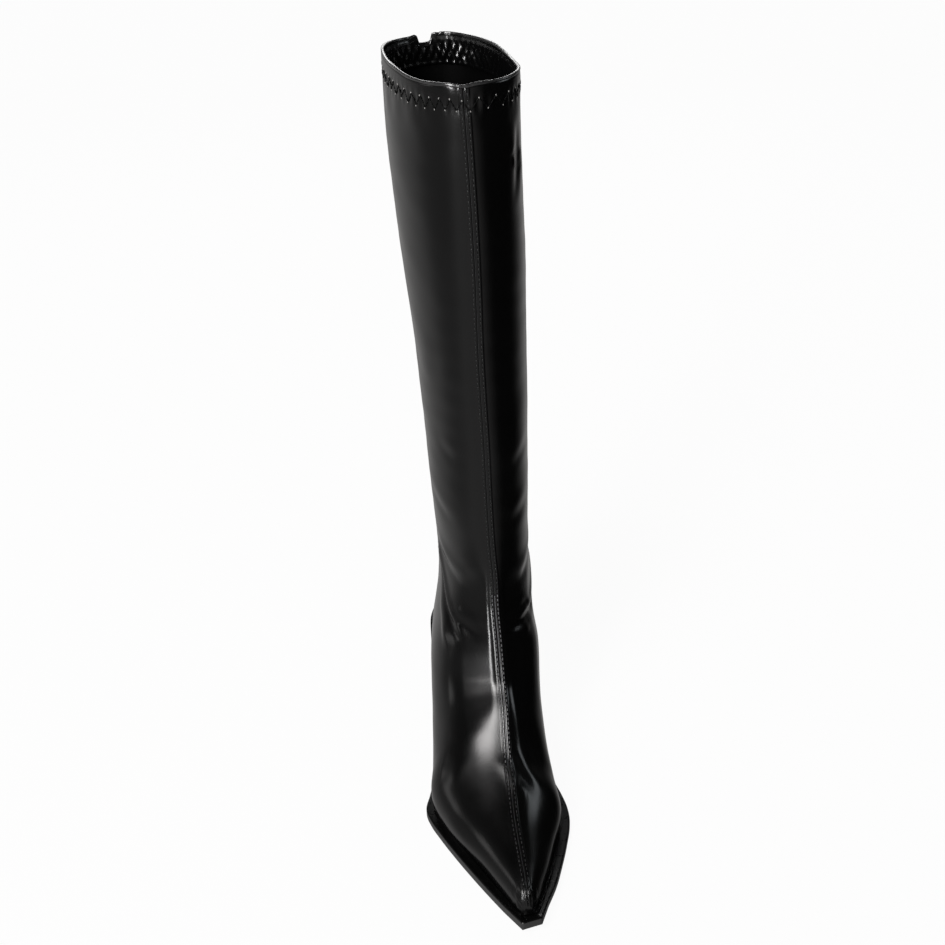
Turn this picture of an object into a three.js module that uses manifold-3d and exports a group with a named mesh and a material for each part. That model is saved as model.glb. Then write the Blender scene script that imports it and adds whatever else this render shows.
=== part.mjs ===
// A knee-high pull-on boot for the right foot: pointed snip toe, block heel, stretch upper.
// Units are millimetres. Toe toward -Y, medial side toward +X, up is +Z, resting plane z = 0.
// Local terms: "along" runs from the back of the heel to the toe, "across" is positive medially.
import * as THREE from 'three';
import Module from 'manifold-3d';

const wasm = await Module();
wasm.setup();

// Driving sizes.
const LAST_LENGTH = 258;
const BALL_WIDTH = 82;
const INSTEP_HEIGHT = 60;
const SEAT_TOP = 57;
const SHAFT_HEIGHT = 396.7;
const SHAFT_WIDTH = 74;
const WALL = 1.6;
const SOLE_THICKNESS = 6.5;
const TOE_SPRING = 5.3;
const FEATHER_DROP = 10;
const FIT_GAP = 0.3;
const LAYER_GAP = 0.15;

// Front seam: a flat raised strip down the crest of the upper.
const SEAM_HALF_WIDTH = 3.4;
const SEAM_RISE = 0.5;
const SEAM_EDGE = 0.7;

// Collar: notch at the centre back and the gathered elastic inside.
const NOTCH_WIDTH = 9.2;
const NOTCH_DEPTH = 3.6;
const NOTCH_OFFSET = -9.9;
const ELASTIC_TOP_DROP = 4.6;
const ELASTIC_HEIGHT = 12.6;
const ELASTIC_THICKNESS = 1.0;

// Rand: a raised cord around the feather line on the outsole's ledge.
const RAND_WIDTH = 1.6;
const RAND_HEIGHT = 1.5;

const INSOLE_THICKNESS = 2.0;

// Heel block and its top piece.
const HEEL_LENGTH = 64;
const HEEL_INSET = 1.4;
const HEEL_TAPER = 0.90;
const LIFT_THICKNESS = 6;

// Mesh density.
const ROWS_PER_SPAN = 2;
const RING_SIDE_POINTS = 25;
const INNER_SIDE_POINTS = 20;

function namedRows(columns, rows) {
  return rows.map((row) => Object.fromEntries(columns.map((name, i) => [name, row[i]])));
}

// Forepart sections, upright planes. along: share of LAST_LENGTH. crest: share of INSTEP_HEIGHT
// over the sole. lateral, medial: half widths, share of BALL_WIDTH. widest: share of the section
// from its foot. lower: how square the lower half is. lean: across shift of the crest, mm.
const FOREPART_COLUMNS = ['along', 'crest', 'lateral', 'medial', 'widest', 'lower', 'lean'];
const FOREPART = namedRows(FOREPART_COLUMNS, [
  [1.022, 0.120, 0.036, 0.036, 0.55, 2.6, -1.6],
  [1.014, 0.215, 0.066, 0.060, 0.55, 2.6, -1.7],
  [0.985, 0.285, 0.112, 0.104, 0.55, 2.6, -1.7],
  [0.950, 0.335, 0.163, 0.150, 0.54, 2.6, -1.7],
  [0.900, 0.390, 0.236, 0.222, 0.52, 2.6, -1.8],
  [0.830, 0.480, 0.342, 0.306, 0.48, 2.6, -1.9],
  [0.740, 0.620, 0.504, 0.392, 0.44, 2.6, -1.0],
  [0.655, 0.800, 0.600, 0.376, 0.40, 2.6, -0.2],
  [0.585, 1.000, 0.587, 0.351, 0.38, 2.6, 1.3],
]);

// Ankle sections turn about the crook of the ankle. frontAlong, backAlong: share of LAST_LENGTH.
// frontUp, backUp: share of SHAFT_HEIGHT over the seat; null puts the foot of the section under
// the sole line.
const ANKLE_COLUMNS = ['frontAlong', 'frontUp', 'backAlong', 'backUp', 'lateral',
  'medial', 'widest', 'lower', 'lean'];
const ANKLE = namedRows(ANKLE_COLUMNS, [
  [0.515, 0.055, 0.400, null, 0.547, 0.352, 0.40, 2.6, 2.0],
  [0.460, 0.110, 0.200, null, 0.505, 0.380, 0.42, 2.6, 2.2],
  [0.425, 0.160, 0.030, -0.033, 0.441, 0.374, 0.44, 2.5, 1.8],
  [0.405, 0.205, -0.018, 0.040, 0.378, 0.374, 0.46, 2.3, 2.0],
  [0.395, 0.245, 0.008, 0.150, 0.364, 0.370, 0.48, 2.1, 1.2],
]);

// Shaft sections, level planes. up: share of SHAFT_HEIGHT over the seat. front, back: share of
// LAST_LENGTH. lateral, medial: half widths, share of SHAFT_WIDTH. widestLateral, widestMedial:
// share of the depth from the back. dip: how far the front lies under the back, share of
// SHAFT_HEIGHT.
const SHAFT_COLUMNS = ['up', 'front', 'back', 'lateral', 'medial',
  'widestLateral', 'widestMedial', 'lean', 'dip'];
const SHAFT = namedRows(SHAFT_COLUMNS, [
  [0.320, 0.392, 0.030, 0.429, 0.424, 0.50, 0.50, -0.1, 0],
  [0.450, 0.398, 0.015, 0.440, 0.445, 0.50, 0.50, -1.6, 0],
  [0.600, 0.412, -0.010, 0.457, 0.468, 0.48, 0.52, -4.0, 0],
  [0.750, 0.425, -0.026, 0.510, 0.471, 0.45, 0.55, -5.2, 0],
  [0.900, 0.434, -0.028, 0.525, 0.456, 0.40, 0.62, -7.4, 0],
  [1.000, 0.437, -0.023, 0.496, 0.457, 0.30, 0.72, -9.2, 0.0045],
]);

// Outsole outline. along: share of LAST_LENGTH. lateral, medial: distances from the boot's axis,
// share of BALL_WIDTH.
const OUTLINE_COLUMNS = ['along', 'lateral', 'medial'];
const OUTLINE = namedRows(OUTLINE_COLUMNS, [
  [-0.018, -0.010, 0.030],
  [-0.010, 0.140, 0.160],
  [0.020, 0.270, 0.285],
  [0.060, 0.365, 0.355],
  [0.110, 0.425, 0.392],
  [0.170, 0.447, 0.408],
  [0.250, 0.450, 0.400],
  [0.350, 0.468, 0.375],
  [0.450, 0.500, 0.362],
  [0.530, 0.540, 0.366],
  [0.600, 0.605, 0.404],
  [0.650, 0.648, 0.438],
  [0.690, 0.620, 0.455],
  [0.730, 0.569, 0.452],
  [0.800, 0.470, 0.391],
  [0.865, 0.373, 0.317],
  [0.930, 0.273, 0.235],
  [0.985, 0.186, 0.146],
]);
const TIP = { lateralAlong: 1.047, medialAlong: 1.036, lateral: 0.078, medial: 0.073 };

const COLOURS = {
  upper: 0x1c1b1c,
  outsole: 0x242426,
  rand: 0x151516,
  insole: 0x2a2623,
  heel: 0x1a1a1b,
  lift: 0x222223,
  elastic: 0x19181a,
};

function smoothstep(from, to, value) {
  const t = Math.min(1, Math.max(0, (value - from) / (to - from)));
  return t * t * (3 - 2 * t);
}

// Height of the outsole's top surface at a distance along the boot.
function soleTop(along) {
  const seatRise = (SEAT_TOP - SOLE_THICKNESS) * smoothstep(0.60 * LAST_LENGTH, 0.10 * LAST_LENGTH, along);
  const spring = Math.max(0, (along - 0.72 * LAST_LENGTH) / (0.30 * LAST_LENGTH));
  return SOLE_THICKNESS + seatRise + TOE_SPRING * spring * spring;
}

// Every section in one form: front and back points in the long plane, half widths and shape.
function sectionRows() {
  const rows = [];
  for (const row of FOREPART) {
    const along = row.along * LAST_LENGTH;
    const top = soleTop(along) + row.crest * INSTEP_HEIGHT;
    const foot = soleTop(along) - FEATHER_DROP;
    rows.push([along, top, along, foot, row.lateral * BALL_WIDTH, row.medial * BALL_WIDTH,
      row.widest, row.widest, row.lower, row.lean]);
  }
  for (const row of ANKLE) {
    const back = row.backAlong * LAST_LENGTH;
    const onSole = row.backUp === null;
    const backUp = onSole ? soleTop(back) - FEATHER_DROP : SEAT_TOP + row.backUp * SHAFT_HEIGHT;
    rows.push([row.frontAlong * LAST_LENGTH, SEAT_TOP + row.frontUp * SHAFT_HEIGHT, back, backUp,
      row.lateral * BALL_WIDTH, row.medial * BALL_WIDTH, row.widest, row.widest, row.lower, row.lean]);
  }
  for (const row of SHAFT) {
    const up = SEAT_TOP + row.up * SHAFT_HEIGHT;
    const frontUp = up - row.dip * SHAFT_HEIGHT;
    rows.push([row.front * LAST_LENGTH, frontUp, row.back * LAST_LENGTH, up, row.lateral * SHAFT_WIDTH,
      row.medial * SHAFT_WIDTH, row.widestLateral, row.widestMedial, 2, row.lean]);
  }
  return rows;
}

function rowSpacing(rows) {
  const stations = [0];
  for (let i = 1; i < rows.length; i += 1) {
    const a = rows[i - 1];
    const b = rows[i];
    const front = Math.hypot(b[0] - a[0], b[1] - a[1]);
    const back = Math.hypot(b[2] - a[2], b[3] - a[3]);
    stations.push(stations[i - 1] + (front + back) / 2);
  }
  return stations;
}

function rowTangent(rows, stations, i, column) {
  const last = rows.length - 1;
  if (i === 0) return (rows[1][column] - rows[0][column]) / (stations[1] - stations[0]);
  if (i === last) {
    return (rows[last][column] - rows[last - 1][column]) / (stations[last] - stations[last - 1]);
  }
  const before = stations[i] - stations[i - 1];
  const after = stations[i + 1] - stations[i];
  const slopeBefore = (rows[i][column] - rows[i - 1][column]) / before;
  const slopeAfter = (rows[i + 1][column] - rows[i][column]) / after;
  return (slopeBefore * after + slopeAfter * before) / (before + after);
}

// Smooth rows through the tables.
function smoothRows(rows, perSpan) {
  const stations = rowSpacing(rows);
  const result = [];
  for (let i = 0; i + 1 < rows.length; i += 1) {
    const step = stations[i + 1] - stations[i];
    for (let k = 0; k < perSpan; k += 1) {
      const t = k / perSpan;
      const a = 2 * t ** 3 - 3 * t ** 2 + 1;
      const b = t ** 3 - 2 * t ** 2 + t;
      const c = -2 * t ** 3 + 3 * t ** 2;
      const d = t ** 3 - t ** 2;
      result.push(rows[i].map((value, column) => a * value
        + b * step * rowTangent(rows, stations, i, column)
        + c * rows[i + 1][column]
        + d * step * rowTangent(rows, stations, i + 1, column)));
    }
  }
  result.push(rows[rows.length - 1].slice());
  return result;
}

// One point of a section in its own plane: across, and rise from the section's foot.
function sectionPoint(row, angle) {
  const depth = Math.hypot(row[0] - row[2], row[1] - row[3]);
  const c = Math.cos(angle);
  const s = Math.sin(angle);
  const medialSide = s >= 0;
  const power = 2 / (c >= 0 ? 2 : row[8]);
  const widest = medialSide ? row[7] : row[6];
  const rise = Math.abs(c) ** power;
  const reach = Math.abs(s) ** power;
  const share = c >= 0 ? widest + (1 - widest) * rise : widest - widest * rise;
  const half = medialSide ? row[5] : -row[4];
  return [row[9] + half * reach, share * depth];
}

// Section points spread evenly by arc on each side, offset outward by `grow`, seam raised.
function sectionRing(row, sidePoints, grow, seamRise) {
  const dense = 180;
  const sides = [1, -1].map((sign) => {
    const curve = [];
    for (let i = 0; i <= dense; i += 1) curve.push(sectionPoint(row, sign * Math.PI * i / dense));
    const arc = [0];
    for (let i = 1; i <= dense; i += 1) {
      arc.push(arc[i - 1] + Math.hypot(curve[i][0] - curve[i - 1][0], curve[i][1] - curve[i - 1][1]));
    }
    return { sign, curve, arc };
  });
  const ring = [];
  const take = (side, wanted, lift) => {
    const { curve, arc, sign } = side;
    let i = 1;
    while (i < dense && arc[i] < wanted) i += 1;
    const t = (wanted - arc[i - 1]) / Math.max(1e-9, arc[i] - arc[i - 1]);
    const x = curve[i - 1][0] + t * (curve[i][0] - curve[i - 1][0]);
    const y = curve[i - 1][1] + t * (curve[i][1] - curve[i - 1][1]);
    const dx = curve[i][0] - curve[i - 1][0];
    const dy = curve[i][1] - curve[i - 1][1];
    const length = Math.hypot(dx, dy);
    const offset = grow + lift;
    return [x - sign * dy / length * offset, y + sign * dx / length * offset];
  };
  const crestUp = (point, lift) => [point[0], point[1] + grow + lift];
  const footDown = (point) => [point[0], point[1] - grow];
  const [medial, lateral] = sides;
  const seam = Math.min(SEAM_HALF_WIDTH, 0.2 * medial.arc[dense], 0.2 * lateral.arc[dense]);
  const rise = seamRise * Math.min(1, seam / SEAM_HALF_WIDTH);
  const walk = (side) => {
    const total = side.arc[dense];
    const points = [take(side, seam, rise), take(side, seam + SEAM_EDGE, 0)];
    const rest = total - seam - SEAM_EDGE;
    for (let i = 1; i < sidePoints - 1; i += 1) {
      points.push(take(side, seam + SEAM_EDGE + rest * i / (sidePoints - 1), 0));
    }
    return points;
  };
  ring.push(crestUp(medial.curve[0], rise));
  ring.push(...walk(medial));
  ring.push(footDown(medial.curve[dense]));
  ring.push(...walk(lateral).reverse());
  return placeRing(row, ring);
}

// Carry a section's own plane into the boot's frame.
function placeRing(row, ring) {
  const depth = Math.hypot(row[0] - row[2], row[1] - row[3]);
  const alongStep = (row[0] - row[2]) / depth;
  const upStep = (row[1] - row[3]) / depth;
  return ring.map(([across, rise]) => [across, -(row[2] + rise * alongStep), row[3] + rise * upStep]);
}

function shiftRing(ring, dy, dz) {
  return ring.map(([x, y, z]) => [x, y + dy, z + dz]);
}

// A closed body through rings of equal count, capped at both ends.
function loftBody(rings) {
  const count = rings[0].length;
  const vertices = [];
  const triangles = [];
  for (const ring of rings) for (const point of ring) vertices.push(point);
  for (let i = 0; i + 1 < rings.length; i += 1) {
    for (let j = 0; j < count; j += 1) {
      const k = (j + 1) % count;
      const a = i * count + j;
      const b = i * count + k;
      triangles.push([a, b, b + count], [a, b + count, a + count]);
    }
  }
  for (const [index, flip] of [[0, true], [rings.length - 1, false]]) {
    const centre = [0, 1, 2].map((axis) => rings[index].reduce((sum, p) => sum + p[axis], 0) / count);
    const hub = vertices.length;
    vertices.push(centre);
    for (let j = 0; j < count; j += 1) {
      const k = (j + 1) % count;
      const a = index * count + j;
      const b = index * count + k;
      triangles.push(flip ? [hub, b, a] : [hub, a, b]);
    }
  }
  return solidFrom(vertices, triangles);
}

function signedVolume(vertices, triangles) {
  let volume = 0;
  for (const [a, b, c] of triangles) {
    const [p, q, r] = [vertices[a], vertices[b], vertices[c]];
    volume += p[0] * (q[1] * r[2] - q[2] * r[1])
      + p[1] * (q[2] * r[0] - q[0] * r[2])
      + p[2] * (q[0] * r[1] - q[1] * r[0]);
  }
  return volume / 6;
}

function solidFrom(vertices, triangles) {
  const faces = signedVolume(vertices, triangles) < 0 ? triangles.map(([a, b, c]) => [a, c, b]) : triangles;
  const mesh = new wasm.Mesh({
    numProp: 3,
    vertProperties: new Float32Array(vertices.flat()),
    triVerts: new Uint32Array(faces.flat()),
  });
  return new wasm.Manifold(mesh);
}

// A prism whose side view is the polygon of [y, z] points, between two across positions.
function sideProfile(points, left, right) {
  return loftBody([points.map(([y, z]) => [left, y, z]), points.map(([y, z]) => [right, y, z])]);
}

// Everything from `low` to `high` over the outsole's top surface.
function soleLayer(low, high) {
  const strip = 46;
  const from = -0.12 * LAST_LENGTH;
  const to = 1.12 * LAST_LENGTH;
  const vertices = [];
  const triangles = [];
  for (let i = 0; i <= strip; i += 1) {
    const along = from + (to - from) * i / strip;
    const z = soleTop(along);
    vertices.push([-80, -along, z + low], [80, -along, z + low]);
    vertices.push([80, -along, z + high], [-80, -along, z + high]);
  }
  for (let i = 0; i < strip; i += 1) {
    for (let j = 0; j < 4; j += 1) {
      const k = (j + 1) % 4;
      const a = i * 4 + j;
      const b = i * 4 + k;
      triangles.push([a, b, b + 4], [a, b + 4, a + 4]);
    }
  }
  const end = strip * 4;
  triangles.push([0, 2, 1], [0, 3, 2], [end, end + 1, end + 2], [end, end + 2, end + 3]);
  return solidFrom(vertices, triangles);
}

// The upper's closed form grown or shrunk; a shrunk form stops short of the toe tip.
function upperForm(grow, sidePoints, seamRise, tipSkip, extendTop) {
  const rows = smoothRows(sectionRows(), ROWS_PER_SPAN).slice(tipSkip);
  const rings = rows.map((row) => sectionRing(row, sidePoints, grow, seamRise));
  if (extendTop > 0) rings.push(shiftRing(rings[rings.length - 1], 0, extendTop));
  return loftBody(rings);
}

function collarTop() {
  return SEAT_TOP + SHAFT_HEIGHT;
}

// A steep-sided cut through the back of the collar with a flat floor.
function backNotch() {
  const top = collarTop();
  const back = -SHAFT[SHAFT.length - 1].back * LAST_LENGTH;
  const centre = SHAFT[SHAFT.length - 1].lean + NOTCH_OFFSET;
  const half = NOTCH_WIDTH / 2;
  const outline = [[-half, 1], [-half * 0.97, -0.6], [-half * 0.78, -NOTCH_DEPTH],
    [half * 0.78, -NOTCH_DEPTH], [half * 0.97, -0.6], [half, 1]];
  const ringAt = (y) => outline.map(([x, z]) => [centre + x, y, top + z]);
  return loftBody([ringAt(back - 10), ringAt(back + 8)]);
}

function makeUpper() {
  const outer = upperForm(0, RING_SIDE_POINTS, SEAM_RISE, 0, 0);
  const inner = upperForm(-WALL, INNER_SIDE_POINTS, 0, 4, 6);
  const below = soleLayer(-80, LAYER_GAP);
  return outer.subtract(inner).subtract(below).subtract(backNotch());
}

function makeCollarElastic() {
  const outside = upperForm(-WALL - FIT_GAP, INNER_SIDE_POINTS, 0, 4, 6);
  const inside = upperForm(-WALL - FIT_GAP - ELASTIC_THICKNESS, INNER_SIDE_POINTS, 0, 4, 6);
  const top = collarTop() - ELASTIC_TOP_DROP;
  const side = [[-200, top], [60, top], [60, top - ELASTIC_HEIGHT], [-200, top - ELASTIC_HEIGHT]];
  return outside.subtract(inside).intersect(sideProfile(side, -90, 90));
}

function makeInsole() {
  const inside = upperForm(-WALL - FIT_GAP, INNER_SIDE_POINTS, 0, 5, 0);
  return inside.intersect(soleLayer(LAYER_GAP, LAYER_GAP + INSOLE_THICKNESS));
}

function makeRand() {
  const outside = upperForm(FIT_GAP + RAND_WIDTH, RING_SIDE_POINTS, 0, 0, 0);
  const inside = upperForm(FIT_GAP, RING_SIDE_POINTS, 0, 0, 0);
  return outside.subtract(inside).intersect(soleLayer(LAYER_GAP, LAYER_GAP + RAND_HEIGHT));
}

// Outline distance from the axis at a station, smoothly through the table.
function outlineSide(side, perSpan) {
  const points = OUTLINE.map((row) => [row.along * LAST_LENGTH, row[side] * BALL_WIDTH]);
  const stations = [0];
  for (let i = 1; i < points.length; i += 1) {
    const stride = Math.hypot(points[i][0] - points[i - 1][0], points[i][1] - points[i - 1][1]);
    stations.push(stations[i - 1] + stride);
  }
  const result = [];
  for (let i = 0; i + 1 < points.length; i += 1) {
    const step = stations[i + 1] - stations[i];
    for (let k = 0; k < perSpan; k += 1) {
      const t = k / perSpan;
      result.push([0, 1].map((column) => (2 * t ** 3 - 3 * t ** 2 + 1) * points[i][column]
        + (t ** 3 - 2 * t ** 2 + t) * step * rowTangent(points, stations, i, column)
        + (-2 * t ** 3 + 3 * t ** 2) * points[i + 1][column]
        + (t ** 3 - t ** 2) * step * rowTangent(points, stations, i + 1, column)));
    }
  }
  result.push(points[points.length - 1]);
  return result;
}

// Cross strips of the outsole: a lateral and a medial edge point for each station.
function outsoleStrips() {
  const lateral = outlineSide('lateral', 3);
  const medial = outlineSide('medial', 3);
  const strips = lateral.map((point, i) => [[-point[1], point[0]], [medial[i][1], medial[i][0]]]);
  strips.push([
    [-TIP.lateral * BALL_WIDTH, TIP.lateralAlong * LAST_LENGTH],
    [TIP.medial * BALL_WIDTH, TIP.medialAlong * LAST_LENGTH],
  ]);
  return strips;
}

function stripLoop(strips, inset, heightOf) {
  const centre = (across, along, other) => {
    const dx = other[0] - across;
    const dy = other[1] - along;
    const length = Math.hypot(dx, dy);
    const share = Math.min(0.45, inset / Math.max(length, 1e-6));
    return [across + dx * share, along + dy * share];
  };
  return strips.map(([left, right]) => {
    const a = centre(left[0], left[1], right);
    const b = centre(right[0], right[1], left);
    return [[a[0], -a[1], heightOf(a[1])], [b[0], -b[1], heightOf(b[1])]];
  });
}

// A plate bounded by stacked strip loops, the first loop lowest.
function plateFrom(loops) {
  const vertices = [];
  const triangles = [];
  const rows = loops[0].length;
  for (const loop of loops) for (const pair of loop) vertices.push(pair[0], pair[1]);
  const size = rows * 2;
  const left = (level, i) => level * size + i * 2;
  const right = (level, i) => level * size + i * 2 + 1;
  for (let i = 0; i + 1 < rows; i += 1) {
    const top = loops.length - 1;
    triangles.push([left(0, i), right(0, i), right(0, i + 1)]);
    triangles.push([left(0, i), right(0, i + 1), left(0, i + 1)]);
    triangles.push([left(top, i), right(top, i + 1), right(top, i)]);
    triangles.push([left(top, i), left(top, i + 1), right(top, i + 1)]);
  }
  const around = (level) => {
    const loop = [];
    for (let i = 0; i < rows; i += 1) loop.push(left(level, i));
    for (let i = rows - 1; i >= 0; i -= 1) loop.push(right(level, i));
    return loop;
  };
  for (let level = 0; level + 1 < loops.length; level += 1) {
    const low = around(level);
    const high = around(level + 1);
    for (let j = 0; j < low.length; j += 1) {
      const k = (j + 1) % low.length;
      triangles.push([low[j], low[k], high[k]], [low[j], high[k], high[j]]);
    }
  }
  return solidFrom(vertices, triangles);
}

function makeOutsole() {
  const strips = outsoleStrips();
  return plateFrom([
    stripLoop(strips, 1.0, (along) => soleTop(along) - SOLE_THICKNESS),
    stripLoop(strips, 0.3, (along) => soleTop(along) - SOLE_THICKNESS + 0.5),
    stripLoop(strips, 0.0, (along) => soleTop(along) - SOLE_THICKNESS + 1.4),
    stripLoop(strips, 0.0, (along) => soleTop(along) - 0.7),
    stripLoop(strips, 0.7, (along) => soleTop(along)),
  ]);
}

// Heel outline at a level: the outsole's heel end, inset and tapered toward the ground.
function heelStrips(taper) {
  const pivotAlong = 0.34 * HEEL_LENGTH;
  const breast = HEEL_LENGTH;
  const strips = outsoleStrips().filter((pair) => pair[0][1] < breast - 2);
  const axis = 0.01 * BALL_WIDTH;
  const rows = strips.map((pair) => pair.map(([across, along]) => [
    axis + (across - axis) * taper,
    pivotAlong + (along - pivotAlong) * taper,
  ]));
  const last = outsoleStrips().find((pair) => pair[0][1] >= breast - 2);
  const front = pivotAlong + (breast - pivotAlong) * taper;
  rows.push(last.map(([across]) => [axis + (across - axis) * taper, front]));
  return rows;
}

function makeHeel() {
  const under = (along) => soleTop(along) - SOLE_THICKNESS - LAYER_GAP;
  const low = LIFT_THICKNESS + LAYER_GAP;
  const between = (share) => (along) => low + share * (under(along) - low);
  const levels = [
    [HEEL_TAPER, between(0)],
    [HEEL_TAPER + 0.005, between(0.25)],
    [HEEL_TAPER + 0.03, between(0.6)],
    [0.985, (along) => under(along) - 1.5],
    [0.985, under],
  ];
  return plateFrom(levels.map(([taper, height]) => stripLoop(heelStrips(taper), HEEL_INSET, height)));
}

function makeLift() {
  return plateFrom([
    stripLoop(heelStrips(HEEL_TAPER), HEEL_INSET + 1.0, () => 0),
    stripLoop(heelStrips(HEEL_TAPER), HEEL_INSET + 0.2, () => 0.8),
    stripLoop(heelStrips(HEEL_TAPER), HEEL_INSET, () => 1.6),
    stripLoop(heelStrips(HEEL_TAPER), HEEL_INSET, () => LIFT_THICKNESS),
  ]);
}

function toMesh(name, solid, colour, roughness) {
  const result = solid.getMesh();
  const positions = new Float32Array(result.numVert * 3);
  for (let i = 0; i < result.numVert; i += 1) {
    for (let axis = 0; axis < 3; axis += 1) {
      positions[i * 3 + axis] = result.vertProperties[i * result.numProp + axis];
    }
  }
  const geometry = new THREE.BufferGeometry();
  geometry.setAttribute('position', new THREE.BufferAttribute(positions, 3));
  geometry.setIndex(new THREE.BufferAttribute(new Uint32Array(result.triVerts), 1));
  const look = { color: colour, roughness, metalness: 0, flatShading: true };
  const material = new THREE.MeshStandardMaterial(look);
  const mesh = new THREE.Mesh(geometry, material);
  mesh.name = name;
  return mesh;
}

// Centre the whole boot over the origin and stand it on z = 0.
function centreOnFloor(group) {
  const box = new THREE.Box3().setFromObject(group);
  const shift = new THREE.Vector3(-(box.min.x + box.max.x) / 2, -(box.min.y + box.max.y) / 2, -box.min.z);
  for (const mesh of group.children) mesh.geometry.translate(shift.x, shift.y, shift.z);
}

function buildBoot() {
  const group = new THREE.Group();
  group.name = 'knee_high_boot';
  group.add(toMesh('upper', makeUpper(), COLOURS.upper, 0.4));
  group.add(toMesh('outsole', makeOutsole(), COLOURS.outsole, 0.7));
  group.add(toMesh('rand', makeRand(), COLOURS.rand, 0.45));
  group.add(toMesh('insole', makeInsole(), COLOURS.insole, 0.8));
  group.add(toMesh('heel', makeHeel(), COLOURS.heel, 0.4));
  group.add(toMesh('heel_lift', makeLift(), COLOURS.lift, 0.8));
  group.add(toMesh('collar_elastic', makeCollarElastic(), COLOURS.elastic, 0.6));
  centreOnFloor(group);
  return group;
}

export default buildBoot();
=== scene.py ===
import math

import bpy
import numpy as np
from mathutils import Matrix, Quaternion, Vector


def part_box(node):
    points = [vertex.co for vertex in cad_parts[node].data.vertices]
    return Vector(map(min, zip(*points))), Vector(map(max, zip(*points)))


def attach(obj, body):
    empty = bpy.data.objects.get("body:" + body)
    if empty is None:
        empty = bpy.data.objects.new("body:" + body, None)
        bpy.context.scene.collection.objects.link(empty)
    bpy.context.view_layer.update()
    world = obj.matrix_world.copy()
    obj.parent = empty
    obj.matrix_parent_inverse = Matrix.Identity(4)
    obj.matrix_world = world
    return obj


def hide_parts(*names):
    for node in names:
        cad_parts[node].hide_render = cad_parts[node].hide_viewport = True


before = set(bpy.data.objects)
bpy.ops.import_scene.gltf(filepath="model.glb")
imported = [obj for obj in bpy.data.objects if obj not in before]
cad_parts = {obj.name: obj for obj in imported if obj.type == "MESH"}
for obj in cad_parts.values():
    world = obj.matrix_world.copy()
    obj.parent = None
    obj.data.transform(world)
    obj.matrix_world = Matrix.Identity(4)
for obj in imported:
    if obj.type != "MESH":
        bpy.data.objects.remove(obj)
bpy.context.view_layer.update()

# Camera
YAW = math.radians(9.5)
PITCH = math.radians(31.0)
PAN = math.radians(2.93)
CAM_AT = Vector((-0.0707, -0.6192, 0.609))
FOCAL_PX = 1250.0
PICTURE_PX = 945.0
SENSOR_MM = 36.0


def place_camera():
    forward = Vector((math.sin(YAW) * math.cos(PITCH), math.cos(YAW) * math.cos(PITCH), -math.sin(PITCH)))
    data = bpy.data.cameras.new("camera")
    data.sensor_width = SENSOR_MM
    data.lens = FOCAL_PX / PICTURE_PX * SENSOR_MM
    data.clip_start = 0.01
    data.clip_end = 50.0
    cam = bpy.data.objects.new("camera", data)
    bpy.context.scene.collection.objects.link(cam)
    cam.location = CAM_AT
    cam.rotation_mode = "QUATERNION"
    # turned about its own upright, so the one boot of the pair comes to the middle without tilting
    cam.rotation_quaternion = forward.to_track_quat("-Z", "Y") @ Quaternion((0, 1, 0), PAN)
    bpy.context.scene.camera = cam


place_camera()

# Sizes in mm, as in the part's source
LAST_LENGTH = 258.0
BALL_WIDTH = 82.0
INSTEP_HEIGHT = 60.0
SEAT_TOP = 57.0
SHAFT_HEIGHT = 396.7
SHAFT_WIDTH = 74.0
WALL = 1.6
SOLE_THICKNESS = 6.5
TOE_SPRING = 5.3
FEATHER_DROP = 10.0
NOTCH_OFFSET = -9.9
NOTCH_DEPTH = 3.6
NOTCH_WIDTH = 9.2
COLLAR_TOP = SEAT_TOP + SHAFT_HEIGHT

# Sections: lengths are shares of the last, heights of the instep or shaft, widths of the ball or shaft.
# FOREPART: along, crest, lateral, medial, widest, lower power, lean in mm
FOREPART = [
    (1.022, 0.120, 0.036, 0.036, 0.55, 2.6, -1.6),
    (1.014, 0.215, 0.066, 0.060, 0.55, 2.6, -1.7),
    (0.985, 0.285, 0.112, 0.104, 0.55, 2.6, -1.7),
    (0.950, 0.335, 0.163, 0.150, 0.54, 2.6, -1.7),
    (0.900, 0.390, 0.236, 0.222, 0.52, 2.6, -1.8),
    (0.830, 0.480, 0.342, 0.306, 0.48, 2.6, -1.9),
    (0.740, 0.620, 0.504, 0.392, 0.44, 2.6, -1.0),
    (0.655, 0.800, 0.600, 0.376, 0.40, 2.6, -0.2),
    (0.585, 1.000, 0.587, 0.351, 0.38, 2.6, 1.3),
]
# ANKLE: front along, front up, back along, back up, lateral, medial, widest, lower power, lean
ANKLE = [
    (0.515, 0.055, 0.400, None, 0.547, 0.352, 0.40, 2.6, 2.0),
    (0.460, 0.110, 0.200, None, 0.505, 0.380, 0.42, 2.6, 2.2),
    (0.425, 0.160, 0.030, -0.033, 0.441, 0.374, 0.44, 2.5, 1.8),
    (0.405, 0.205, -0.018, 0.040, 0.378, 0.374, 0.46, 2.3, 2.0),
    (0.395, 0.245, 0.008, 0.150, 0.364, 0.370, 0.48, 2.1, 1.2),
]
# SHAFT: up, front along, back along, lateral, medial, widest lateral, widest medial, lean, front dip
SHAFT = [
    (0.320, 0.392, 0.030, 0.429, 0.424, 0.50, 0.50, -0.1, 0.0),
    (0.450, 0.398, 0.015, 0.440, 0.445, 0.50, 0.50, -1.6, 0.0),
    (0.600, 0.412, -0.010, 0.457, 0.468, 0.48, 0.52, -4.0, 0.0),
    (0.750, 0.425, -0.026, 0.510, 0.471, 0.45, 0.55, -5.2, 0.0),
    (0.900, 0.434, -0.028, 0.525, 0.456, 0.40, 0.62, -7.4, 0.0),
    (1.000, 0.437, -0.023, 0.496, 0.457, 0.30, 0.72, -9.2, 0.0045),
]
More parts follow.
